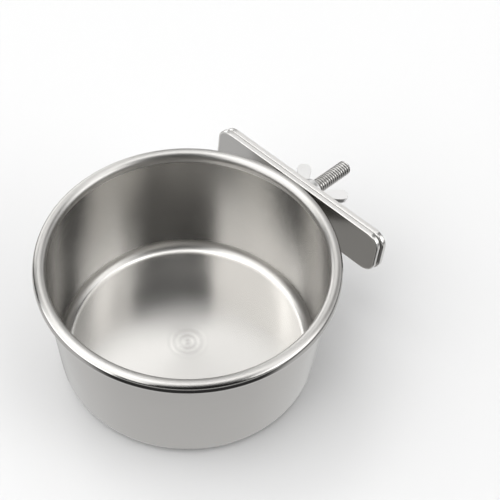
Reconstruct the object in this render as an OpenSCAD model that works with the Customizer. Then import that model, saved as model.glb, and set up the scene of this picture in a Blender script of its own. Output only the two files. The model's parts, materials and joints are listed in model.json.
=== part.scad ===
// Seed cup that clamps to cage wires
// Lengths are millimetres and angles are degrees.
// The origin is the centre of the cup's underside, with +Z up.
// The clamp stands on the cup's +Y side, and leans outward with the wall.

/* [Cup] */
// Outside diameter over the rolled rim
cup_d = 120.6; // [100:0.2:140]
// Height from the underside to the top of the rim
cup_h = 57.5; // [50:0.5:80]
// Thickness of the sheet
sheet = 0.8; // [0.5:0.1:1.2]
// Diameter of the rolled bead round the rim
bead_d = 4.8; // [4:0.1:7]
// How far the bead stands out past the wall under it
bead_step = 3.3; // [2.8:0.1:4]
// Opening between the rolled edge and the wall, under the bead
curl_gap = 0.4; // [0.2:0.1:0.8]
// Lean of the wall away from upright
wall_lean = 3.9; // [0:0.1:8]
// Outside radius of the corner between wall and floor
corner_r = 5.4; // [3:0.1:10]

/* [Clamp plates] */
// Length of each plate
plate_l = 89; // [60:0.2:110]
// Height of each plate
plate_h = 19.2; // [16:0.1:24]
// Thickness of each plate
plate_t = 2.25; // [1.2:0.05:3]
// Radius of the plates' corners
plate_r = 5.4; // [2:0.1:7]
// Side shift of the front plate from the cup's middle
plate_x = 1.1; // [-5:0.1:5]
// How far the plates' top edge stands over the middle of the bead
plate_rise = 0.8; // [-4:0.1:2]
// Side shift of the loose rear plate from the front one
rear_dx = 0.8; // [-2:0.1:2]
// Opening between the two plates, as photographed
jaw_gap = 0.2; // [0.1:0.1:4]

/* [Bolt] */
// Thread diameter over the crests
bolt_d = 6.35; // [5:0.05:8]
// Thread pitch
pitch = 1.27; // [0.8:0.01:1.6]
// Length of the shank from the front of the front plate to the tip
bolt_l = 31.8; // [29:0.1:45]
// Diameter of the round head
head_d = 11.2; // [9:0.1:13]
// Side shift of the bolt from the front plate's middle
bolt_dx = 1.4; // [-3:0.1:3]
// How far the bolt lies under the plates' middle
bolt_drop = 0.6; // [0:0.1:2]
// Leg of the weld beads at the head
weld_leg = 1; // [0.7:0.1:1.3]

/* [Wing nut] */
// Diameter of the boss where it bears on the rear plate
boss_d = 12; // [10:0.1:15]
// Diameter of the boss at its outer end
boss_top_d = 10.4; // [9:0.1:13]
// Height of the boss
boss_h = 6.6; // [5:0.1:9]
// Distance over the tips of the wings
wing_span = 26.6; // [22:0.2:36]
// Height from the bearing face to the top of the wings
wing_h = 14.9; // [12:0.1:20]
// Thickness of each wing
wing_t = 2.2; // [1.6:0.1:3.4]
// Radius of the round end of each wing
wing_tip_r = 3; // [2.2:0.1:4]
// Radius of each wing where it leaves the boss
wing_root_r = 2; // [1.4:0.1:2.8]

/* [Fits] */
// Gap round the bolt in the front plate
fixed_fit = 0.15; // [0.05:0.01:0.3]
// Gap round the bolt in the rear plate
slide_fit = 0.1; // [0.05:0.01:0.1]
// Gap round the bolt in the wing nut
thread_fit = 0.05; // [0.02:0.01:0.1]
// Gap between faces that only touch
seat_gap = 0.05; // [0.02:0.01:0.1]

/* [Hidden] */
$fn = 96;
// Facets round the cup where the head and its weld are cut to the wall
seat_fn = 480;
steel = [0.80, 0.79, 0.77];
bright_steel = [0.87, 0.86, 0.84];
weld_grey = [0.55, 0.53, 0.51];

// Steps in a quarter round of a lathe profile
quarter_steps = 10;
// Steps in the round end of a wing
tip_steps = 16;
// One overrun for every cut
over = sheet;

// Rolled bead: the middle of its round section, and its hollow
bead_r = bead_d / 2;
bead_at = [cup_d / 2 - bead_r, cup_h - bead_r];
hollow_r = bead_r - sheet;

// Wall: outside radius level with the bead's middle, and the corner's middle
wall_top_r = cup_d / 2 - bead_step;
wall_run = (bead_at[1] - corner_r + corner_r * sin(wall_lean)) / cos(wall_lean);
corner_at = [wall_top_r - corner_r * cos(wall_lean) - wall_run * sin(wall_lean), corner_r];

// Plates, in the clamp's own frame: front faces, and the middle of their height
front_y = bead_r + seat_gap;
rear_y = front_y + plate_t + jaw_gap;
plate_z = plate_rise - plate_h / 2;

// Bolt, in the same frame: where its axis lies, and where that axis meets the outside of the wall
bolt_x = plate_x + bolt_dx;
bolt_z = plate_z - bolt_drop;
wall_r_at_bolt = wall_top_r + bolt_z * sin(wall_lean);
wall_sag = wall_r_at_bolt - sqrt(pow(wall_r_at_bolt, 2) - pow(bolt_x, 2));
wall_y = (wall_top_r - bead_at[0] - wall_sag) * cos(wall_lean);
thread_depth = 0.6 * pitch;
thread_root_r = bolt_d / 2 - thread_depth;
ridge_count = floor(bolt_l / pitch);
// Shares of a pitch where a ridge's flat crest starts and ends
crest_shares = [0.4, 0.6];
// The head is cut to the wall, so its blank starts this far inside the cup
head_extra = corner_r;

// Nut: where it bears on the rear plate, and the middles of a wing's two rounds
nut_y = rear_y + plate_t + seat_gap;
wing_tip_at = [wing_span / 2 - wing_tip_r, wing_h - wing_tip_r];
wing_root_at = [boss_top_d / 2 - wing_root_r / 2, boss_h - wing_root_r];

// Points on an arc, from one angle to another
function arc(c, r, a0, a1, n) =
    [for (i = [0 : n]) let (a = a0 + (a1 - a0) * i / n) c + r * [cos(a), sin(a)]];

// Outline round two circles and the straight lines that touch both
function link(c1, r1, c2, r2, n) =
    let (way = c2 - c1, turn = atan2(way[1], way[0]), lean = acos((r1 - r2) / norm(way)))
    concat(arc(c2, r2, turn - lean, turn + lean, n), arc(c1, r1, turn + lean, turn + 360 - lean, n));

// Section of the wall at a distance inside its outer face, from the floor's middle up to the bead
function wall_line(inset) =
    let (r = corner_r - inset)
    concat([[0, inset]], arc(corner_at, r, -90, -wall_lean, quarter_steps),
        [[wall_top_r - inset / cos(wall_lean), bead_at[1]]]);

function backwards(list) = [for (i = [len(list) - 1 : -1 : 0]) list[i]];

// Everything inside the outer face of the wall and the bead, as one solid, grown by a gap
module cup_filled(gap) {
    rotate_extrude($fn = seat_fn) {
        polygon(concat(wall_line(-gap), [[0, bead_at[1]]]));
        translate(bead_at) circle(bead_r + gap);
    }
}

// The clamp's own frame: it starts at the middle of the bead's section, with Y square to the wall
module on_clamp() {
    translate([0, bead_at[0], bead_at[1]]) rotate([-wall_lean, 0, 0]) children();
}

// Along the bolt's axis, from a distance out along the clamp's Y
module on_bolt_axis(y) {
    on_clamp() translate([bolt_x, y, bolt_z]) rotate([-90, 0, 0]) children();
}

module plate_outline() {
    at_x = plate_l / 2 - plate_r;
    at_y = plate_h / 2 - plate_r;
    square([plate_l, 2 * at_y], center = true);
    square([2 * at_x, plate_h], center = true);
    for (x = [-at_x, at_x], y = [-at_y, at_y]) translate([x, y]) circle(plate_r);
}

// Plate shifted sideways by a distance, with its hole for the bolt
module plate(y, shift, hole_r) {
    on_clamp() translate([0, y + plate_t, 0]) rotate([90, 0, 0])
        linear_extrude(plate_t) difference() {
            translate([plate_x + shift, plate_z]) plate_outline();
            translate([bolt_x, bolt_z]) circle(hole_r);
        }
}

// Bead of weld round the head, against a plane that faces the way given
module weld_ring(length) {
    rotate_extrude()
        polygon([[head_d / 2, 0], [head_d / 2 + weld_leg, 0], [head_d / 2 + weld_leg, length],
            [head_d / 2, length + weld_leg]]);
}

module cup() {
    color(steel) rotate_extrude() difference() {
        union() {
            polygon(concat(wall_line(0), backwards(wall_line(sheet))));
            translate(bead_at) circle(bead_r);
        }
        translate(bead_at) circle(hollow_r);
        translate([wall_top_r, bead_at[1] - bead_r - over]) square([curl_gap, bead_r + over]);
    }
}

module front_plate() {
    color(steel) plate(front_y, 0, bolt_d / 2 + fixed_fit);
}

module bolt_head() {
    start_y = wall_y - head_extra;
    difference() {
        on_bolt_axis(start_y) cylinder(h = front_y - seat_gap - start_y, d = head_d);
        cup_filled(seat_gap);
    }
}

// Shank from the head to the tip, with its thread as a row of ridges
module bolt_shank() {
    on_bolt_axis(front_y - seat_gap - over) cylinder(h = seat_gap + over, r = thread_root_r);
    on_bolt_axis(front_y) rotate_extrude() polygon(concat([[0, 0]],
        [for (i = [0 : ridge_count - 1]) each [[thread_root_r, i * pitch],
            [bolt_d / 2, (i + crest_shares[0]) * pitch], [bolt_d / 2, (i + crest_shares[1]) * pitch]]],
        [[thread_root_r, ridge_count * pitch], [thread_root_r, bolt_l], [0, bolt_l]]));
}

module clamp_bolt() {
    color(bright_steel) {
        bolt_head();
        bolt_shank();
    }
}

// One bead where the head meets the front plate, and one where it meets the wall
module head_welds() {
    color(weld_grey) {
        on_bolt_axis(front_y - seat_gap) mirror([0, 0, 1]) weld_ring(0);
        difference() {
            on_bolt_axis(wall_y - weld_leg) weld_ring(weld_leg);
            cup_filled(seat_gap);
        }
    }
}

module rear_plate() {
    color(steel) plate(rear_y, rear_dx, bolt_d / 2 + slide_fit);
}

module wing_nut() {
    color(bright_steel) on_bolt_axis(nut_y) difference() {
        union() {
            cylinder(h = boss_h, d1 = boss_d, d2 = boss_top_d);
            for (side = [0, 1]) mirror([side, 0, 0]) rotate([90, 0, 0])
                linear_extrude(wing_t, center = true)
                    polygon(link(wing_root_at, wing_root_r, wing_tip_at, wing_tip_r, tip_steps));
        }
        translate([0, 0, -over]) cylinder(h = boss_h + 2 * over, r = bolt_d / 2 + thread_fit);
    }
}

cup();
front_plate();
clamp_bolt();
head_welds();
rear_plate();
wing_nut();
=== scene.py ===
import json
from math import acos, cos, degrees, hypot, pi, radians, sin, sqrt, tan

import bmesh
import bpy
from mathutils import Matrix, Quaternion, Vector


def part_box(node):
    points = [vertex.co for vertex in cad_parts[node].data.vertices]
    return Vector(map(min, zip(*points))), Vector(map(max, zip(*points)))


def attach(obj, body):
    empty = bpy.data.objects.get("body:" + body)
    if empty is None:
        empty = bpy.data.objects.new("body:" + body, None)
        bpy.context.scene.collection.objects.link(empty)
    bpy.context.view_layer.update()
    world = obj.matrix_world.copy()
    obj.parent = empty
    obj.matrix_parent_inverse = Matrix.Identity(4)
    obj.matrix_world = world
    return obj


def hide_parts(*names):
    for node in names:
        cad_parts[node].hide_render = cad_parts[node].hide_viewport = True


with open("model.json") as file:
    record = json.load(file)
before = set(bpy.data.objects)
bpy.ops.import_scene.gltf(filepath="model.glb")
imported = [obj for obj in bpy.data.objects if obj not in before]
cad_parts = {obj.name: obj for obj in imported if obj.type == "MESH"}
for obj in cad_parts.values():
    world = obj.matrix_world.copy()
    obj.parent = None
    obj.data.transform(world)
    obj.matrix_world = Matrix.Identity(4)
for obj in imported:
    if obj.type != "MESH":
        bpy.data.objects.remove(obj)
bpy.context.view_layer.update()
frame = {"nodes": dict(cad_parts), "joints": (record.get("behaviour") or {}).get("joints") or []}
mm = 0.001
cupLow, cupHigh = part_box("cup")

# The clamp leans with the wall, so its pieces are made in its own frame and then put in place:
# Y runs out along the bolt's axis from the nut's bearing face, and X along the strips
nutJoint = next(joint for joint in frame["joints"] if joint["name"] == "wing_nut_turn")
clampTurn = Vector((0, 1, 0)).rotation_difference(Vector(nutJoint["axis"]))
clampPlace = Matrix.Translation(nutJoint["pos_m"]) @ clampTurn.to_matrix().to_4x4()


def clampBox(node):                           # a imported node's corners, in the clamp's frame
    back = clampPlace.inverted()
    points = [back @ vertex.co for vertex in frame["nodes"][node].data.vertices]
    return [Vector(end(point[axis] for point in points) for axis in range(3)) for end in (min, max)]


frontLow, frontHigh = clampBox("front_plate")
rearLow, rearHigh = clampBox("rear_plate")
boltLow, boltHigh = clampBox("clamp_bolt")
nutLow, nutHigh = clampBox("wing_nut")
print("frame loaded:", len(frame["nodes"]), "nodes")


# Node trees are written as sums: a wire is a socket that Python's operators work on
def operator(operation, reflected=False):
    def apply(wire, other):
        pair = (other, wire) if reflected else (wire, other)
        return wire.graph.node("ShaderNodeMath", {"operation": operation}, dict(enumerate(pair)))
    return apply


class Wire:
    __add__ = operator("ADD")
    __radd__ = operator("ADD", True)
    __sub__ = operator("SUBTRACT")
    __rsub__ = operator("SUBTRACT", True)
    __mul__ = operator("MULTIPLY")
    __rmul__ = operator("MULTIPLY", True)
    __truediv__ = operator("DIVIDE")
    __rtruediv__ = operator("DIVIDE", True)
    __pow__ = operator("POWER")
    below = operator("MINIMUM")
    above = operator("MAXIMUM")
    over = operator("GREATER_THAN")

    def __init__(self, graph, socket):
        self.graph = graph
        self.socket = socket

    def of(self, operation, *others):         # any other operation of the Math node
        values = dict(enumerate((self,) + others))
        return self.graph.node("ShaderNodeMath", {"operation": operation}, values)

    def output(self, name):                   # another output of the same node
        return Wire(self.graph, self.socket.node.outputs[name])

    def rise(self, low, high):                # smoothly from 0 at low to 1 at high
        return self.graph.node("ShaderNodeMapRange", {"interpolation_type": "SMOOTHSTEP"},
                               {"Value": self, "From Min": low, "From Max": high})


class Graph:                                  # one node tree, with one way to add a node
    def __init__(self, tree):
        self.tree = tree

    def node(self, kind, settings=None, inputs=None, output=0):
        made = self.tree.nodes.new(kind)
        for name, value in (settings or {}).items():
            if name == "stops":
                self.placeStops(made.color_ramp, value)
            else:
                setattr(made, name, value)
        for key, value in (inputs or {}).items():
            if isinstance(value, Wire):
                self.tree.links.new(value.socket, made.inputs[key])
            else:
                made.inputs[key].default_value = value
        return Wire(self, made.outputs[output]) if len(made.outputs) else made

    def placeStops(self, ramp, stops):
        while len(ramp.elements) < len(stops):
            ramp.elements.new(1)
        for element, (position, shade) in zip(ramp.elements, stops):
            element.position = position
            element.color = shade

    def mix(self, factor, first, second):     # mixes two colours
        return self.node("ShaderNodeMix", {"data_type": "RGBA"},
                         {0: factor, 6: first, 7: second}, 2)

    def tinted(self, shade, warmth):          # the same as grey(), for a shade that varies
        red, _, blue, _ = grey(1.0, warmth)
        return self.node("ShaderNodeCombineColor", None,
                         {0: shade * red, 1: shade, 2: shade * blue})

    def vector(self, x, y, z):
        return self.node("ShaderNodeCombineXYZ", None, {0: x, 1: y, 2: z})

    def noise(self, where, scale, detail=2, roughness=0.5):
        return self.node("ShaderNodeTexNoise", None, {
            "Vector": where, "Scale": scale, "Detail": detail, "Roughness": roughness})

    def place(self, origin=Matrix()):         # a point's place in a frame of the object, in mm
        at = self.node("ShaderNodeTexCoord", output="Object")
        return self.node("ShaderNodeMapping", {"vector_type": "TEXTURE"}, {
            "Vector": at, "Location": origin.translation, "Rotation": origin.to_euler(),
            "Scale": (mm, mm, mm)})

    def split(self, vector):
        return [self.node("ShaderNodeSeparateXYZ", None, {0: vector}, axis) for axis in range(3)]


# How far warmth lifts a steel's red and lowers its blue
redShare = 0.7
blueShare = 1.25


def grey(level, warmth=0.0):
    return (level * (1 + redShare * warmth), level, level * (1 - blueShare * warmth), 1)


def steelMaterial(name, finish, **fixed):     # finish(graph) gives the linked sockets of the shader
    material = bpy.data.materials.new(name)
    material.use_nodes = True
    material.node_tree.nodes.clear()
    graph = Graph(material.node_tree)
    linked = finish(graph)
    height = linked.pop("Height", None)
    if height is not None:
        linked["Normal"] = graph.node("ShaderNodeBump", None, {"Height": height, "Strength": 1.0,
                                                               "Distance": mm})
    inputs = {"Metallic": 1.0}
    inputs.update({key.replace("_", " "): value for key, value in fixed.items()})
    inputs.update(linked)
    shader = graph.node("ShaderNodeBsdfPrincipled", None, inputs)
    graph.node("ShaderNodeOutputMaterial", None, {"Surface": shader})
    return material


# Geometry Nodes: trees with named inputs, and the turning of their result into a plain mesh
def startTree(name, inputs):
    tree = bpy.data.node_groups.new(name, "GeometryNodeTree")
    tree.interface.new_socket("Geometry", in_out="INPUT", socket_type="NodeSocketGeometry")
    for label, kind in inputs.items():
        tree.interface.new_socket(label, in_out="INPUT", socket_type="NodeSocket" + kind)
    tree.interface.new_socket("Geometry", in_out="OUTPUT", socket_type="NodeSocketGeometry")
    graph = Graph(tree)
    given = graph.node("NodeGroupInput")
    return graph, given


def endTree(graph, given, geometry):
    smooth = graph.node("GeometryNodeSetShadeSmooth", None, {"Geometry": geometry})
    real = graph.node("GeometryNodeRealizeInstances", None, {"Geometry": smooth})
    painted = graph.node("GeometryNodeSetMaterial", None, {"Geometry": real,
                                                           "Material": given.output("Material")})
    graph.node("NodeGroupOutput", None, {"Geometry": painted})
    return graph.tree


def grow(name, mesh, tree, values):           # runs a tree on a mesh and keeps the plain result
    piece = bpy.data.objects.new(name, mesh)
    bpy.context.scene.collection.objects.link(piece)
    modifier = piece.modifiers.new(name, "NODES")
    modifier.node_group = tree
    for item in tree.interface.items_tree:
        if item.name in values:
            modifier[item.identifier] = values[item.name]
    settle(piece)
    return piece


mergeReach = 0.0005 * mm                      # points nearer than this become one
shortEdge = 0.0002 * mm                       # edges shorter than this are taken out
sharpAngle = 40                               # faces that meet at more than this look sharp


def settle(piece):                            # modifiers become plain mesh, closed and facing out
    bpy.context.view_layer.update()
    evaluated = piece.evaluated_get(bpy.context.evaluated_depsgraph_get())
    mesh = bpy.data.meshes.new_from_object(evaluated)
    piece.modifiers.clear()
    piece.data = mesh
    mesh.name = piece.name
    edit = bmesh.new()
    edit.from_mesh(mesh)
    bmesh.ops.remove_doubles(edit, verts=edit.verts, dist=mergeReach)
    bmesh.ops.dissolve_degenerate(edit, edges=edit.edges, dist=shortEdge)
    bmesh.ops.recalc_face_normals(edit, faces=edit.faces)
    edit.to_mesh(mesh)
    edit.free()


def skin(name, rings, material):              # a closed surface over rings of points
    mesh = bpy.data.meshes.new(name)
    edit = bmesh.new()
    rows = [[edit.verts.new(point) for point in ring] for ring in rings]
    for below, above in zip(rows, rows[1:]):
        count = max(len(below), len(above))
        for i in range(count):
            j = (i + 1) % count
            corners = [below[i % len(below)], below[j % len(below)],
                       above[j % len(above)], above[i % len(above)]]
            edit.faces.new(list(dict.fromkeys(corners)))
    bmesh.ops.recalc_face_normals(edit, faces=edit.faces)
    for face in edit.faces:
        face.smooth = True
    edit.to_mesh(mesh)
    edit.free()
    mesh.set_sharp_from_angle(angle=radians(sharpAngle))
    mesh.materials.append(material)
    piece = bpy.data.objects.new(name, mesh)
    bpy.context.scene.collection.objects.link(piece)
    return piece


def join(pieces):                             # several meshes as one piece, named as the first
    first = pieces[0]
    edit = bmesh.new()
    for piece in pieces:
        edit.from_mesh(piece.data)
    edit.to_mesh(first.data)
    edit.free()
    for piece in pieces[1:]:
        bpy.data.objects.remove(piece)
    return first


def arc(centre, radius, start, end, steps):   # angles in degrees
    turns = [radians(start + (end - start) * i / steps) for i in range(steps + 1)]
    return [Vector((centre[0] + radius * cos(turn), centre[1] + radius * sin(turn)))
            for turn in turns]


# Camera
cameraView = {
    "azimuth": 46.2,
    "elevation": 50.7,
    "distance": 0.4595,                       # from the middle of the rim
    "lens": 85.6,
    "tiltUp": 0.337,
    "shift": 0.1248,
    "sensor": 36,
    "clip": (0.01, 20),
}


def makeCamera():
    data = bpy.data.cameras.new("camera")
    data.sensor_width = cameraView["sensor"]
    data.lens = cameraView["lens"]
    data.shift_x = cameraView["shift"]
    data.clip_start, data.clip_end = cameraView["clip"]
    camera = bpy.data.objects.new("camera", data)
    bpy.context.scene.collection.objects.link(camera)
    around = radians(cameraView["azimuth"])
    up = radians(cameraView["elevation"])
    back = Vector((sin(around) * cos(up), -cos(around) * cos(up), sin(up)))
    camera.location = Vector((0, 0, cupHigh.z)) + cameraView["distance"] * back
    camera.rotation_mode = "QUATERNION"
    tilt = Quaternion((1, 0, 0), radians(cameraView["tiltUp"]))
    camera.rotation_quaternion = (-back).to_track_quat("-Z", "Y") @ tilt
    bpy.context.scene.camera = camera


makeCamera()
print("camera placed")


# Cup: one sheet, turned from its section, with a rolled rim and faint spin rings on the floor
cupForm = {
    "sheet": 0.8 * mm,
    "bead": 5.1 * mm,
    "beadStep": 3.3 * mm,
    "wallLean": 3.9,
    "corner": 5.4 * mm,
    "neck": 3.5 * mm,                         # radius where the wall turns in under the bead
    "skirt": 0.7 * mm,                        # nearly straight part of the bead's outer side
    "skirtTurn": 10,                          # where that part lies, and where the curl stops,
    "curlEnd": -96,                           # both seen from the bead's middle
    "segments": 288,
    "cornerSteps": 20,                        # steps along each arc of the section
    "neckSteps": 8,
    "beadSteps": (36, 26),                    # on the bead's outside, and in its hollow
    "curlSteps": (20, 14),
    "edgeSteps": 8,
    "ringSteps": 70,                          # steps across the ringed middle of the floor
    "ringRadii": [1.7 * mm, 3.9 * mm, 7.4 * mm],
    "ringDepth": 0.02 * mm,
    "ringWidth": 0.6 * mm,
    "ringFade": 4,                            # widths past the last ring that still dip
}


def floorHeight(radius):                      # the floor dips a little at each ring
    width = cupForm["ringWidth"]
    ripple = sum(1 / (1 + ((radius - ring) / width) ** 4) for ring in cupForm["ringRadii"])
    return cupForm["sheet"] - cupForm["ringDepth"] * ripple


def cupSection():
    sheet = cupForm["sheet"]
    half = sheet / 2
    lean = radians(cupForm["wallLean"])
    corner = cupForm["corner"]
    bead = cupForm["bead"] / 2
    skirtTurn = cupForm["skirtTurn"]
    skirt = cupForm["skirt"] * Vector((sin(radians(skirtTurn)), -cos(radians(skirtTurn))))
    beadAt = Vector((cupHigh.x - bead - skirt.x, cupHigh.z - bead))
    lowerAt = beadAt + skirt                  # middle of the bead's lower half
    wallTop = cupHigh.x - cupForm["beadStep"]
    run = (beadAt.y - corner + corner * sin(lean)) / cos(lean)
    cornerAt = (wallTop - corner * cos(lean) - run * sin(lean), corner)
    neck = cupForm["neck"]
    across = neck + (beadAt.x - wallTop) * cos(lean) + half  # from the neck's middle to the bead's
    reach = neck + bead - half
    along = sqrt(reach ** 2 - across ** 2)
    neckTurn = degrees(acos(across / reach))
    outward = Vector((cos(lean), -sin(lean)))
    upward = Vector((sin(lean), cos(lean)))
    neckAt = beadAt - across * outward - along * upward
    leanTurn = cupForm["wallLean"]
    beadStart = 180 + neckTurn - leanTurn
    curlEnd = cupForm["curlEnd"]
    ringsEnd = max(cupForm["ringRadii"]) + cupForm["ringFade"] * cupForm["ringWidth"]
    steps = cupForm["ringSteps"]
    radii = [ringsEnd * i / steps for i in range(steps + 1)]
    beadSteps, hollowSteps = cupForm["beadSteps"]
    curlSteps, hollowCurlSteps = cupForm["curlSteps"]
    inside = [Vector((radius, floorHeight(radius))) for radius in radii]
    inside += arc(cornerAt, corner - sheet, -90, -leanTurn, cupForm["cornerSteps"])
    inside += arc(neckAt, neck - half, -leanTurn, neckTurn - leanTurn, cupForm["neckSteps"])
    inside += arc(beadAt, bead, beadStart, skirtTurn, beadSteps)
    inside += arc(lowerAt, bead, skirtTurn, curlEnd, curlSteps)
    curlAt = arc(lowerAt, bead - half, curlEnd, curlEnd, 1)[0]
    outside = arc(curlAt, half, curlEnd, curlEnd - 180, cupForm["edgeSteps"])
    outside += arc(lowerAt, bead - sheet, curlEnd, skirtTurn, hollowCurlSteps)
    outside += arc(beadAt, bead - sheet, skirtTurn, beadStart, hollowSteps)
    outside += arc(neckAt, neck + half, neckTurn - leanTurn, -leanTurn, cupForm["neckSteps"])
    outside += arc(cornerAt, corner, -leanTurn, -90, cupForm["cornerSteps"])
    outside.append(Vector((0, 0)))
    return inside + outside


def latheTree():
    graph, given = startTree("lathe", {
        "Path Radius": "Float", "Segments": "Int", "Material": "Material"})
    profile = graph.node("GeometryNodeMeshToCurve", None, {"Mesh": given.output("Geometry")})
    path = graph.node("GeometryNodeCurvePrimitiveCircle", None, {
        "Resolution": given.output("Segments"), "Radius": given.output("Path Radius")})
    turned = graph.node("GeometryNodeCurveToMesh", None, {"Curve": path, "Profile Curve": profile})
    return endTree(graph, given, turned)


def makeCup(material):
    pathRadius = cupHigh.x / 2
    points = cupSection()
    mesh = bpy.data.meshes.new("cupSection")
    # the profile's own X points away from the axis, and its Y points down
    mesh.from_pydata([(point.x - pathRadius, -point.y, 0) for point in points],
                     [(i, i + 1) for i in range(len(points) - 1)], [])
    cup = grow("cupShell", mesh, latheTree(), {
        "Path Radius": pathRadius, "Segments": cupForm["segments"], "Material": material})
    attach(cup, "holder")
    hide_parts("cup")
    return cup


# The sheet was polished on the lathe, so gloss runs round it: sharp along the rings, and soft
# across them. Lengths are in millimetres
spunForm = {
    "shade": 0.52,
    # Painted shade: the bead and the outside are coloured darker than the inside, which dims the
    # bright light on the bead and stands in for the darker surroundings the outside mirrors
    "beadPaintedShade": 0.45,
    "outsidePaintedShade": 0.48,
    "warmth": 0.028,
    "beadRough": 0.36,
    "skirtRough": 0.12,                       # the bead's outer side keeps its polish
    "insideRough": 0.22,
    "floorRough": 0.24,
    "cornerRough": 0.34,
    "outsideRough": 0.20,
    "acrossRings": 0.5,
    "beadFade": (0.1, 0.35),                  # past the bead's skin, where its finish gives way
    "skirtFade": (0.45, 0.85),                # shares of the bead's radius
    "wallFade": 0.2,                          # both ways from the middle of the sheet
    "cornerFade": 1,
    "floorShare": 0.3,                        # share of the corner with the floor's full finish
    "hubReach": 11.0,                         # how far out the lathe's centre marks the floor
    "hubCore": 0.4,
    "hubSpacing": 2.6,
    # how much darker the rings near the floor's middle are
    "hubRingTone": 0.08,
    "hubWander": 3,
    "ringSpacing": 1.1,                       # between the lathe's broad marks
    "ringHeight": 0.0034,
    "ringChange": 2.5,                        # how fast the marks change on their way round
    "scratchSpacing": 0.22,
    "scratchHeight": 0.0004,
    "scratchChange": 6,
    "smudge": 0.035,                          # how much hands and washing change the roughness
    "smudgeScale": 0.06,
    "smudgeShade": 0.05,
}


def blend(mask, low, high):                   # a value from low to high as a mask rises
    return low + mask * (high - low)


def spunSteel():
    look = spunForm
    bead = cupForm["bead"] / 2 / mm
    beadR = cupHigh.x / mm - bead
    beadZ = cupHigh.z / mm - bead
    wallTop = (cupHigh.x - cupForm["beadStep"] - cupForm["sheet"] / 2) / mm
    slope = tan(radians(cupForm["wallLean"]))
    corner = cupForm["corner"] / mm
    sheet = cupForm["sheet"] / mm
    beadFrom, beadTo = look["beadFade"]
    skirtFrom, skirtTo = look["skirtFade"]
    wallFade = look["wallFade"]
    fade = look["cornerFade"]

    def finish(graph):
        at = graph.place()
        x, y, z = graph.split(at)
        radius = (x * x + y * y).of("SQRT")
        down = (beadZ - z).above(0.0)
        alongSkirt = down.below(cupForm["skirt"] / mm)
        fromBead = ((radius - beadR) ** 2 + (z - beadZ + alongSkirt) ** 2).of("SQRT")
        onBead = 1 - fromBead.rise(bead + beadFrom, bead + beadTo)
        inside = (wallTop - slope * (beadZ - z) - radius).rise(-wallFade, wallFade)
        onFloor = 1 - z.rise(look["floorShare"] * corner, corner)
        across = radius + z                   # rises from the floor's middle up the wall

        def marks(spacing, around, detail):   # noise drawn out round the rings
            where = graph.vector(x / radius * around, y / radius * around, across / spacing)
            return graph.noise(where, 1.0, detail) - 0.5

        rings = marks(look["ringSpacing"], look["ringChange"], 1)
        scratches = marks(look["scratchSpacing"], look["scratchChange"], 2)
        smudges = graph.noise(at, look["smudgeScale"], 3) - 0.5
        inCorner = z.rise(sheet, sheet + fade) * (1 - z.rise(corner - fade, corner + fade))
        within = blend(onFloor, look["insideRough"], look["floorRough"])
        within = blend(inCorner, within, look["cornerRough"])
        rough = blend(inside, look["outsideRough"], within)
        outward = (radius - beadR).rise(skirtFrom * bead, skirtTo * bead)
        rough = blend(onBead, rough, blend(outward, look["beadRough"], look["skirtRough"]))
        rough = rough + smudges * look["smudge"] * 2 + (rings + scratches) * look["smudge"]
        # painted shade: the outside and the bead are darker than the inside
        shade = blend(inside, look["outsidePaintedShade"], look["shade"])
        shade = blend(onBead, shade, look["beadPaintedShade"]) * (1 + smudges * look["smudgeShade"])
        hub = inside * (1 - radius.rise(look["hubCore"] * look["hubReach"], look["hubReach"]))
        waves = (radius * (2 * pi / look["hubSpacing"]) + smudges * look["hubWander"]).of("SINE")
        waves = waves * 0.5 + 0.5
        shade = shade * (1 - hub * waves * look["hubRingTone"])
        color = graph.tinted(shade, look["warmth"])
        height = rings * look["ringHeight"] + scratches * look["scratchHeight"]
        return {"Base Color": color, "Roughness": rough, "Height": height}

    return steelMaterial("spunSteel", finish, Anisotropic=look["acrossRings"],
                         Anisotropic_Rotation=0.25)


cupShell = makeCup(spunSteel())
print("cup turned:", len(cupShell.data.polygons), "faces")


# Clamp strips: sheared long edges, polished and rolled-over ends, one hole each
stripForm = {
    "endRadius": 5.4 * mm,
    "shearEdge": 0.12 * mm,                   # edge radius along the sheared sides
    "polishEdge": 0.5 * mm,                   # edge radius round the polished ends
    "holeEdge": 0.15 * mm,
    "support": 0.3 * mm,                      # from each rounded edge to the face's first ring
    "frontHole": 3.325 * mm,
    "rearHole": 3.275 * mm,
    "arcSteps": 24,
    "sideSteps": 40,
}


def stripOutline(low, high):                  # points in X and Z, outward normals, shares of polish
    radius = stripForm["endRadius"]
    halfCorner = 45                           # polish fades from here out towards the long sides
    corners = [(high.x - radius, high.z - radius, 0), (low.x + radius, high.z - radius, 90),
               (low.x + radius, low.z + radius, 180), (high.x - radius, low.z + radius, 270)]
    outline = []
    for number, (x, z, start) in enumerate(corners):
        for i in range(stripForm["arcSteps"] + 1):
            turn = 90 * i / stripForm["arcSteps"]
            toSide = turn if number % 2 == 0 else 90 - turn
            share = 1 - max(0, (toSide - halfCorner) / halfCorner) ** 2
            normal = Vector((cos(radians(start + turn)), sin(radians(start + turn))))
            outline.append((Vector((x, z)) + radius * normal, normal, share))
        nextX, nextZ, _ = corners[(number + 1) % 4]
        end = Vector((nextX, nextZ)) + radius * normal
        begin = outline[-1][0]
        share = 0.0 if number % 2 == 0 else 1.0
        for i in range(1, stripForm["sideSteps"]):
            outline.append((begin.lerp(end, i / stripForm["sideSteps"]), normal, share))
    return outline


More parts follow.
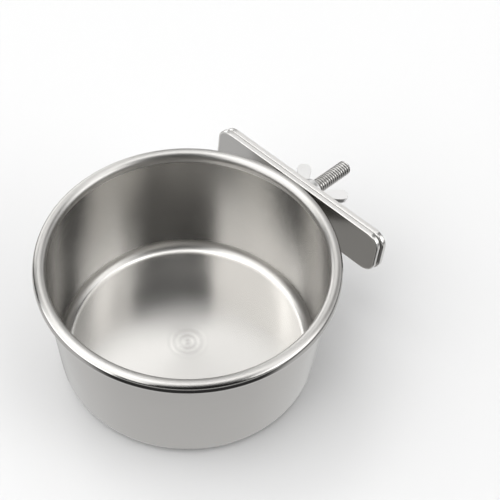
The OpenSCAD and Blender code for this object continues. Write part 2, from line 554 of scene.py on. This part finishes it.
def stripRings(low, high, holeRadius):
    outline = stripOutline(low, high)
    edges = [stripForm["shearEdge"] + (stripForm["polishEdge"] - stripForm["shearEdge"]) * share
             for _, _, share in outline]
    turns = [point.normalized() for point, _, _ in outline]
    holeEdge = stripForm["holeEdge"]

    def around(inset, y):                     # the outline drawn in, at a depth for each point
        return [(point.x - normal.x * inset[i], y[i], point.y - normal.y * inset[i])
                for i, (point, normal, _) in enumerate(outline)]

    def hole(radius, y):
        return [(turn.x * radius, y, turn.y * radius) for turn in turns]

    def rounded(y, inward, steps=6):          # rings over an edge, from the face to the side
        rings = []
        for i in range(steps + 1):
            a = pi / 2 * i / steps
            rings.append(around([edge * (1 - sin(a)) for edge in edges],
                                [y + inward * edge * (1 - cos(a)) for edge in edges]))
        return rings

    support = [edge + stripForm["support"] for edge in edges]
    rings = [hole(holeRadius, low.y + holeEdge), hole(holeRadius + holeEdge, low.y),
             hole(holeRadius + 2 * holeEdge, low.y), around(support, [low.y] * len(outline))]
    rings += rounded(low.y, 1)
    rings += rounded(high.y, -1)[::-1]
    rings += [around(support, [high.y] * len(outline)), hole(holeRadius + 2 * holeEdge, high.y),
              hole(holeRadius + holeEdge, high.y), hole(holeRadius, high.y - holeEdge)]
    rings.append(rings[0])
    return rings


def makeStrip(name, node, body, low, high, holeRadius, material):
    strip = skin(name, stripRings(low, high, holeRadius), material)
    settle(strip)
    strip.data.set_sharp_from_angle(angle=radians(sharpAngle))
    strip.data.transform(clampPlace)
    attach(strip, body)
    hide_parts(node)
    return strip


# Strip steel has a fine grain along it. A shear leaves each long edge smooth near the front face
# and torn behind that, and the ends are polished
stripLook = {
    "shade": 0.46,
    "edgeHighlight": 0.66,                        # painted highlight: the edges are lighter, for the light from overhead that they catch
    "warmth": 0.022,
    "faceRough": 0.20,
    "shearRough": 0.24,
    "tornRough": 0.42,
    "polishRough": 0.27,
    "polishReach": 6.5,                       # from each end, in millimetres
    "polishFade": 1.5,
    "polishWidth": 0.7,                       # how much wider the edge's look is where polished
    "edgeFade": (0.05, 0.25),
    "grainSpacing": 0.16,
    "grainAlong": 0.12,
    "grainHeight": 0.0006,
    "grainRough": 0.12,
    "tornFrom": 0.38,                         # as a share of the thickness
    "tornFade": 0.06,
    "tearSpacing": 0.45,
    "tearHeight": 0.06,
    "heatReach": 11.0,                        # how far from the bolt the weld has tinted the steel
    "heatCore": 0.6,
    "heatColor": (0.42, 0.34, 0.25, 1),
    "frontHeat": 0.45,                        # only the front strip is welded
    "rearHeat": 0.0,
}


def stripSteel(name, low, high, heat):
    look = stripLook
    middle = (low + high) / 2 / mm
    half = (high - low) / 2 / mm
    radius = stripForm["endRadius"] / mm

    def finish(graph):
        x, y, z = graph.split(graph.place(clampPlace))
        overX = ((x - middle.x).of("ABSOLUTE") - (half.x - radius)).above(0.0)
        overZ = ((z - middle.z).of("ABSOLUTE") - (half.z - radius)).above(0.0)
        fromEdge = radius - (overX * overX + overZ * overZ).of("SQRT")
        fromEnd = half.x - (x - middle.x).of("ABSOLUTE")
        reach = look["polishReach"]
        polished = 1 - fromEnd.rise(reach - look["polishFade"], reach + look["polishFade"])
        onEdge = 1 - (fromEdge - polished * look["polishWidth"]).rise(*look["edgeFade"])
        depth = (y - low.y / mm) / (2 * half.y)
        torn = depth.rise(look["tornFrom"] - look["tornFade"], look["tornFrom"] + look["tornFade"])
        torn = torn * onEdge * (1 - polished)
        spacing = look["grainSpacing"]
        grain = graph.noise(graph.vector(x * look["grainAlong"], y / spacing, z / spacing), 1.0)
        tears = graph.noise(graph.vector(x / look["tearSpacing"], depth * 0.7, z * 0.1), 1.0, 3)
        rough = look["faceRough"] + (grain - 0.5) * look["grainRough"]
        rough = blend(onEdge, rough, blend(polished, look["shearRough"], look["polishRough"]))
        rough = blend(torn, rough, look["tornRough"])
        fromBolt = (x * x + z * z).of("SQRT")
        heated = 1 - fromBolt.rise(look["heatCore"] * look["heatReach"], look["heatReach"])
        tint = heated * (1 - onEdge) * heat
        # the edges are painted lighter: a painted highlight
        color = graph.mix(onEdge, grey(look["shade"], look["warmth"]),
                          grey(look["edgeHighlight"], look["warmth"]))
        color = graph.mix(tint, color, look["heatColor"])
        height = (grain - 0.5) * look["grainHeight"] + (tears - 0.5) * torn * look["tearHeight"]
        return {"Base Color": color, "Roughness": rough, "Height": height}

    return steelMaterial(name, finish)


frontSteel = stripSteel("frontStripSteel", frontLow, frontHigh, stripLook["frontHeat"])
frontStrip = makeStrip("frontStrip", "front_plate", "holder", frontLow, frontHigh,
                       stripForm["frontHole"], frontSteel)
rearSteel = stripSteel("rearStripSteel", rearLow, rearHigh, stripLook["rearHeat"])
rearStrip = makeStrip("rearStrip", "rear_plate", "rear_jaw", rearLow, rearHigh,
                      stripForm["rearHole"], rearSteel)
print("strips made:", len(frontStrip.data.polygons) + len(rearStrip.data.polygons), "faces")


# Clamp bolt: a round head against the wall, and a shank with a true right-hand helix
boltForm = {
    "crest": 3.175 * mm,
    "root": 2.413 * mm,
    "pitch": 1.27 * mm,
    "chamfer": 0.75 * mm,
    "segments": 72,
    "rowsPerPitch": 10,
    "rootFlat": 0.08,                         # shares of half a pitch: the root's flat, and a flank
    "flankShare": 0.68,
    "head": 5.6 * mm,
    "headEdge": 0.45 * mm,
    "headSegments": 96,
    "edgeSteps": 6,
    "seatGap": 0.05 * mm,
    "sharpAngle": 50,
}


def wallY(x, z):                              # where a line along the bolt meets the cup's wall
    beadZ = cupHigh.z - cupForm["bead"] / 2
    slope = tan(radians(cupForm["wallLean"]))
    y = boltLow.y
    for _ in range(8):
        at = clampPlace @ Vector((x, y, z))
        radius = cupHigh.x - cupForm["beadStep"] - (beadZ - at.z) * slope
        y += radius - hypot(at.x, at.y)
    return y


def threadTree():
    graph, given = startTree("thread", {
        "Length": "Float", "Crest Radius": "Float", "Root Radius": "Float", "Pitch": "Float",
        "Chamfer": "Float", "Segments": "Int", "Rows Per Pitch": "Float", "Material": "Material"})
    length = given.output("Length")
    pitch = given.output("Pitch")
    crest = given.output("Crest Radius")
    root = given.output("Root Radius")
    turns = (length / pitch).of("CEIL") + 1
    rows = turns * given.output("Rows Per Pitch") + 1
    sheet = graph.node("GeometryNodeMeshGrid", None, {
        "Size X": 1.0, "Size Y": 1.0, "Vertices X": given.output("Segments") + 1,
        "Vertices Y": rows})
    at = graph.node("GeometryNodeInputPosition")
    u = graph.node("ShaderNodeSeparateXYZ", None, {0: at}, 0) + 0.5
    share = graph.node("ShaderNodeSeparateXYZ", None, {0: at}, 1) + 0.5
    v = share * turns
    along = ((v + u - 1) * pitch).above(0.0).below(length)
    ridge = 1 - (v.of("FRACT") * 2 - 1).of("ABSOLUTE")      # 0 in the root, 1 on the crest
    flank = ((ridge - boltForm["rootFlat"]) / boltForm["flankShare"]).above(0.0).below(1.0)
    radius = root + (crest - root) * flank
    cap = crest - (given.output("Chamfer") - (length - along)).above(0.0)
    ends = share.over(0.0001) * (0.9999 - share).over(0.0)  # the end rows close onto the axis
    radius = radius.below(cap) * ends
    angle = u * (2 * pi)
    point = graph.vector(radius * angle.of("SINE"), along, radius * angle.of("COSINE"))
    moved = graph.node("GeometryNodeSetPosition", None, {"Geometry": sheet, "Position": point})
    return endTree(graph, given, moved)


def makeBolt(material):
    shank = grow("clampBolt", bpy.data.meshes.new("clampBolt"), threadTree(), {
        "Length": boltHigh.y - frontLow.y, "Crest Radius": boltForm["crest"],
        "Root Radius": boltForm["root"], "Pitch": boltForm["pitch"], "Chamfer": boltForm["chamfer"],
        "Segments": boltForm["segments"], "Rows Per Pitch": boltForm["rowsPerPitch"],
        "Material": material})
    shank.data.transform(Matrix.Translation((0, frontLow.y, 0)))
    head = boltForm["head"]
    edge = boltForm["headEdge"]
    gap = boltForm["seatGap"]
    flatY = frontLow.y - gap
    count = boltForm["headSegments"]
    angles = [2 * pi * i / count for i in range(count)]
    steps = boltForm["edgeSteps"]
    turns = [pi / 2 * i / steps for i in range(steps + 1)]

    def ring(radius, depth, onWall):
        points = []
        for angle in angles:
            x = radius * cos(angle)
            z = radius * sin(angle)
            points.append((x, wallY(x, z) + gap + depth if onWall else flatY - depth, z))
        return points

    rings = [[(0, flatY, 0)], ring(head / 2, 0, False)]
    rings += [ring(head - edge * (1 - sin(a)), edge * (1 - cos(a)), False) for a in turns]
    rings += [ring(head - edge * (1 - sin(a)), edge * (1 - cos(a)), True) for a in turns[::-1]]
    rings += [ring(head * share, 0, True) for share in (0.6, 0.3)]
    rings.append([(0, wallY(0, 0) + gap, 0)])
    bolt = join([shank, skin("boltHead", rings, material)])
    bolt.data.set_sharp_from_angle(angle=radians(boltForm["sharpAngle"]))
    bolt.data.transform(clampPlace)
    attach(bolt, "holder")
    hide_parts("clamp_bolt")
    return bolt


boltLook = {
    "crestShade": 0.66,
    "rootShade": 0.10,
    "warmth": 0.02,
    "crestRough": 0.30,
    "rootRough": 0.50,
    "pitSize": 0.5,
    "pitHeight": 0.003,
    "pitJitter": 0.25,
    "pitRough": 0.1,
}


def boltSteel():                              # crests painted light and roots painted dark: a painted highlight and painted shade
    look = boltLook
    root = boltForm["root"] / mm
    crest = boltForm["crest"] / mm

    def finish(graph):
        at = graph.place(clampPlace)
        x, y, z = graph.split(at)
        pits = graph.noise(at, 1 / look["pitSize"], 3) - 0.5
        towardCrest = ((x * x + z * z).of("SQRT") + pits * look["pitJitter"]).rise(root, crest)
        # painted shade in the thread's roots, and a painted highlight on its crests
        shade = blend(towardCrest, look["rootShade"], look["crestShade"])
        color = graph.tinted(shade, look["warmth"])
        rough = blend(towardCrest, look["rootRough"], look["crestRough"]) + pits * look["pitRough"]
        return {"Base Color": color, "Roughness": rough, "Height": pits * look["pitHeight"]}

    return steelMaterial("boltSteel", finish)


clampBolt = makeBolt(boltSteel())
print("bolt threaded:", len(clampBolt.data.polygons), "faces")


# Head welds: a rippled bead against the strip, and one against the wall
weldForm = {
    "bead": 0.72 * mm,
    "sink": 0.42 * mm,                        # how far the bead's middle stands off both faces
    "ripples": 30,
    "rippleDepth": 0.14,
    "unevenScale": 600.0,
    "points": 360,
    "sectionPoints": 14,
}


def weldTree():
    graph, given = startTree("weld", {"Bead Radius": "Float", "Ripples": "Float",
                                      "Ripple Depth": "Float", "Material": "Material"})
    path = graph.node("GeometryNodeMeshToCurve", None, {"Mesh": given.output("Geometry")})
    factor = graph.node("GeometryNodeSplineParameter")
    wave = (factor * given.output("Ripples")).of("FRACT")
    scallop = (wave * (1 - wave) * 4).of("SQRT")
    uneven = graph.noise(graph.node("GeometryNodeInputPosition"), weldForm["unevenScale"]) - 0.5
    size = 1 + given.output("Ripple Depth") * (scallop - 1 + uneven)
    swollen = graph.node("GeometryNodeSetCurveRadius", None, {"Curve": path, "Radius": size})
    section = graph.node("GeometryNodeCurvePrimitiveCircle", None, {
        "Resolution": weldForm["sectionPoints"], "Radius": given.output("Bead Radius")})
    bead = graph.node("GeometryNodeCurveToMesh", None, {
        "Curve": swollen, "Profile Curve": section, "Scale": size})
    return endTree(graph, given, bead)


def makeWelds(material):
    tree = weldTree()
    count = weldForm["points"]
    radius = boltForm["head"] + weldForm["sink"]
    beads = []
    for onWall in (False, True):
        points = []
        for i in range(count):
            x = radius * cos(2 * pi * i / count)
            z = radius * sin(2 * pi * i / count)
            y = wallY(x, z) + weldForm["sink"] if onWall else frontLow.y - weldForm["sink"]
            points.append((x, y, z))
        mesh = bpy.data.meshes.new("weldPath")
        mesh.from_pydata(points, [(i, (i + 1) % count) for i in range(count)], [])
        beads.append(grow("headWelds" if not onWall else "wallWeld", mesh, tree, {
            "Bead Radius": weldForm["bead"], "Ripples": float(weldForm["ripples"]),
            "Ripple Depth": weldForm["rippleDepth"], "Material": material}))
    welds = join(beads)
    welds.data.transform(clampPlace)
    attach(welds, "holder")
    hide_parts("head_welds")
    return welds


weldLook = {
    "heatColors": [(0.0, (0.30, 0.28, 0.27, 1)), (0.4, (0.44, 0.36, 0.26, 1)),
                   (0.6, (0.30, 0.27, 0.33, 1)), (1.0, (0.46, 0.44, 0.41, 1))],
    "patch": 2.2,                             # size of the heat colours' patches, in millimetres
    "rough": 0.34,
    "scaleSize": 0.25,
    "scaleHeight": 0.02,
    "scaleRough": 0.2,
}


def weldSteel():                              # straw and violet heat colours under a thin scale
    look = weldLook

    def finish(graph):
        at = graph.place(clampPlace)
        patches = graph.noise(at, 1 / look["patch"], 2).rise(0.3, 0.7)
        scale = graph.noise(at, 1 / look["scaleSize"], 4, 0.6)
        color = graph.node("ShaderNodeValToRGB", {"stops": look["heatColors"]}, {"Fac": patches})
        return {"Base Color": color, "Roughness": look["rough"] + scale * look["scaleRough"],
                "Height": scale * look["scaleHeight"]}

    return steelMaterial("weldSteel", finish)


headWelds = makeWelds(weldSteel())
print("welds laid:", len(headWelds.data.polygons), "faces")


# Wing nut: boss and wings are joined at small voxels and smoothed, the wings' faces are pressed
# flat, and then it is bored
nutForm = {
    "boss": 6.0 * mm,
    "bossTop": 5.2 * mm,
    "bossHeight": 6.6 * mm,
    "bossEdge": 0.5 * mm,
    "wingThickness": 2.2 * mm,
    "wingTip": 3.0 * mm,
    "wingRoot": 2.0 * mm,
    "bore": 3.225 * mm,
    "boreEdge": 0.45 * mm,
    "segments": 96,
    "arcSteps": 20,
    "voxel": 0.2 * mm,
    "smoothing": 8,                           # rounds of smoothing, and how far each one goes
    "smoothShare": 0.5,
    "pressed": 0.16 * mm,                     # how near a wing's face a point is pressed onto it
    "overrun": 1 * mm,                        # how far the cutter of the bore stands out
}


def makeNut(material):
    form = nutForm
    axial = nutHigh.y - nutLow.y
    tipAt = Vector(((nutHigh.x - nutLow.x) / 2 - form["wingTip"], axial - form["wingTip"]))
    rootAt = Vector((form["bossTop"] - form["wingRoot"] / 2, form["bossHeight"] - form["wingRoot"]))
    count = form["segments"]
    angles = [2 * pi * i / count for i in range(count)]
    edge = form["bossEdge"]
    steps = form["arcSteps"]

    def ring(radius, y):
        return [(radius * cos(angle), y, radius * sin(angle)) for angle in angles]

    boss = skin("boss", [[(0, 0, 0)], ring(form["boss"] - edge, 0), ring(form["boss"], edge),
                         ring(form["bossTop"], form["bossHeight"] - edge),
                         ring(form["bossTop"] - edge, form["bossHeight"]),
                         [(0, form["bossHeight"], 0)]], material)
    way = tipAt - rootAt
    turn = degrees(way.angle_signed(Vector((1, 0))))
    lean = degrees(acos((form["wingRoot"] - form["wingTip"]) / way.length))
    outline = arc(tipAt, form["wingTip"], turn - lean, turn + lean, steps)
    outline += arc(rootAt, form["wingRoot"], turn + lean, turn + 360 - lean, steps)
    half = form["wingThickness"] / 2
    wings = []
    for side in (1, -1):
        rings = [[(side * point.x, point.y, z) for point in outline] for z in (-half, half)]
        centre = (tipAt + rootAt) / 2
        rings.insert(0, [(side * centre.x, centre.y, -half)])
        rings.append([(side * centre.x, centre.y, half)])
        wings.append(skin("wing", rings, material))
    nut = join([boss] + wings)
    nut.name = "wingNut"
    remesh = nut.modifiers.new("voxels", "REMESH")
    remesh.mode = "VOXEL"
    remesh.voxel_size = form["voxel"]
    remesh.use_smooth_shade = True
    smooth = nut.modifiers.new("smooth", "SMOOTH")
    smooth.factor = form["smoothShare"]
    smooth.iterations = form["smoothing"]
    settle(nut)
    for vertex in nut.data.vertices:          # the wings' faces are pressed flat
        onWing = abs(vertex.co.x) > form["boss"] or vertex.co.y > form["bossHeight"]
        if onWing and abs(abs(vertex.co.z) - half) < form["pressed"]:
            vertex.co.z = half if vertex.co.z > 0 else -half
    bore = form["bore"]
    cut = form["boreEdge"]
    height = form["bossHeight"]
    over = form["overrun"]
    cutter = skin("cutter", [[(0, -over, 0)], ring(bore + cut + over, -over), ring(bore, cut),
                             ring(bore, height - cut), ring(bore + cut + over, height + over),
                             [(0, height + over, 0)]], material)
    boolean = nut.modifiers.new("bore", "BOOLEAN")
    boolean.operation = "DIFFERENCE"
    boolean.object = cutter
    boolean.solver = "EXACT"
    settle(nut)
    bpy.data.objects.remove(cutter)
    nut.data.set_sharp_from_angle(angle=radians(sharpAngle))
    nut.data.transform(clampPlace)
    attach(nut, "nut")
    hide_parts("wing_nut")
    return nut


nutLook = {
    "shade": 0.80,
    # painted shade: the bore is coloured darker than the rest of the nut
    "boreShade": 0.34,
    "warmth": 0.01,
    "rough": 0.30,
    "dentSize": 2.2,
    "dentHeight": 0.004,
    "dentShade": 0.08,
    "dentRough": 0.1,
    "grainSize": 0.25,
    "grainHeight": 0.0008,
    "grainRough": 0.06,
    "boreFade": (0.05, 0.3),
    "threadHeight": 0.35,
}


def nutSteel():                               # tumbled bright, with a thread cut in its bore
    look = nutLook
    bore = nutForm["bore"] / mm
    pitch = boltForm["pitch"] / mm
    fadeFrom, fadeTo = look["boreFade"]

    def finish(graph):
        at = graph.place(clampPlace)
        x, y, z = graph.split(at)
        inBore = 1 - (x * x + z * z).of("SQRT").rise(bore + fadeFrom, bore + fadeTo)
        turn = x.of("ARCTAN2", z) / (2 * pi)
        thread = ((y / pitch - turn).of("FRACT") * 2 - 1).of("ABSOLUTE")
        dents = graph.noise(at, 1 / look["dentSize"], 2) - 0.5
        grain = graph.noise(at, 1 / look["grainSize"], 2) - 0.5
        # the bore is painted darker: painted shade
        shade = blend(inBore, look["shade"], look["boreShade"]) * (1 + dents * look["dentShade"])
        color = graph.tinted(shade, look["warmth"])
        height = dents * look["dentHeight"] + grain * look["grainHeight"]
        height = blend(inBore, height, thread * look["threadHeight"])
        rough = look["rough"] + dents * look["dentRough"] + grain * look["grainRough"]
        return {"Base Color": color, "Roughness": rough, "Height": height}

    return steelMaterial("nutSteel", finish)


wingNut = makeNut(nutSteel())
print("wing nut made:", len(wingNut.data.polygons), "faces")


# Floor and light
stageForm = {
    "size": 3.0,
    "gap": 0.2 * mm,
    "shade": 0.65,
    "rough": 0.9,
}


def makeStage():
    half = stageForm["size"] / 2
    mesh = bpy.data.meshes.new("floor")
    mesh.from_pydata([(-half, -half, 0), (half, -half, 0), (half, half, 0), (-half, half, 0)],
                     [], [(0, 1, 2, 3)])
    mesh.transform(Matrix.Translation((0, 0, cupLow.z - stageForm["gap"])))
    material = bpy.data.materials.new("paleFloor")
    material.use_nodes = True
    shader = material.node_tree.nodes["Principled BSDF"]
    shader.inputs["Base Color"].default_value = grey(stageForm["shade"])
    shader.inputs["Roughness"].default_value = stageForm["rough"]
    mesh.materials.append(material)
    floor = bpy.data.objects.new("floor", mesh)
    floor.visible_glossy = False              # the steel mirrors the studio's own ground instead
    bpy.context.scene.collection.objects.link(floor)


# The studio is a pale room with soft boxes in it, left open behind the camera. A box's place is
# its azimuth from the camera, counted to the right, and its elevation, all in degrees
studioForm = {
    "room": 0.02,
    "softEdge": 4,
    "background": 1.0,                        # what the camera sees past the floor
    # The ground: pale near the cup, dark farther off on the camera's side, and shaded behind it
    "ground": {"pale": 0.82, "horizon": -14, "horizonEdge": 2, "edge": 14,
               "dark": 0.05, "darkFrom": -52, "darkWidth": 124,
               "shade": 0.25, "shadeFrom": -54, "shadeWidth": 50},
    "boxes": {
        "front": {"azimuth": 4, "elevation": -6, "width": 106, "height": 13, "strength": 0.7},
        "left": {"azimuth": -69, "elevation": 50, "width": 89, "height": 60, "strength": 2.35},
        "rightLow": {"azimuth": 64, "elevation": 26, "width": 50, "height": 22, "strength": 2.6},
        "rightHigh": {"azimuth": 80, "elevation": 53, "width": 50, "height": 46, "strength": 1.6},
        "overhead": {"azimuth": 0, "elevation": 85, "width": 360, "height": 24, "strength": 2.4},
        "backLeft": {"azimuth": -133, "elevation": 60, "width": 58, "height": 20, "strength": 2.8},
        "back": {"azimuth": 176, "elevation": 51, "width": 66, "height": 24, "strength": 1.6},
        "backRight": {"azimuth": 113, "elevation": 68, "width": 60, "height": 22, "strength": 1.7},
        "lowLeft": {"azimuth": -74, "elevation": 5, "width": 60, "height": 24, "strength": 2.8},
        "lowRight": {"azimuth": 116, "elevation": 15, "width": 130, "height": 30, "strength": 0.95},
        "lowBack": {"azimuth": -150, "elevation": 14, "width": 45, "height": 32, "strength": 2.5},
    },
}


def makeLight():
    world = bpy.data.worlds.new("studio")
    bpy.context.scene.world = world
    world.use_nodes = True
    world.node_tree.nodes.clear()
    graph = Graph(world.node_tree)
    x, y, z = graph.split(graph.node("ShaderNodeTexCoord", output="Generated"))
    elevation = z.of("ARCSINE") * degrees(1)
    soft = studioForm["softEdge"]

    def within(azimuth, width, edge):         # 1 less than half a width from an azimuth, either way
        turn = radians(cameraView["azimuth"] + azimuth)
        ahead = x * sin(turn) - y * cos(turn)
        aside = x * cos(turn) + y * sin(turn)
        turned = aside.of("ARCTAN2", ahead).of("ABSOLUTE") * degrees(1)
        return 1 - turned.rise(width / 2 - edge, width / 2 + edge)

    light = studioForm["room"]
    for box in studioForm["boxes"].values():
        raised = (elevation - box["elevation"]).of("ABSOLUTE")
        inside = 1 - raised.rise(box["height"] / 2 - soft, box["height"] / 2 + soft)
        if box["width"] < 360:
            inside = inside * within(box["azimuth"], box["width"], soft)
        light = inside * box["strength"] + light
    ground = studioForm["ground"]
    dark = elevation.rise(ground["darkFrom"] - soft, ground["darkFrom"] + soft)
    dark = dark * within(0, ground["darkWidth"], ground["edge"])
    low = blend(dark, ground["pale"], ground["dark"])
    behind = 1 - elevation.rise(ground["shadeFrom"] - soft, ground["shadeFrom"] + soft)
    behind = behind * within(180, ground["shadeWidth"], ground["edge"])
    low = blend(behind, low, ground["shade"])
    horizon, blur = ground["horizon"], ground["horizonEdge"]
    light = blend(elevation.rise(horizon - blur, horizon + blur), low, light)
    sky = graph.node("ShaderNodeBackground", None, {"Color": grey(1.0), "Strength": light})
    wall = graph.node("ShaderNodeBackground", None, {"Color": grey(1.0),
                                                     "Strength": studioForm["background"]})
    seen = graph.node("ShaderNodeLightPath", output="Is Camera Ray")
    both = graph.node("ShaderNodeMixShader", None, {0: seen, 1: sky, 2: wall})
    graph.node("ShaderNodeOutputWorld", None, {"Surface": both})


makeStage()
makeLight()
bpy.context.scene.view_settings.view_transform = "Standard"
print("stage and light set")
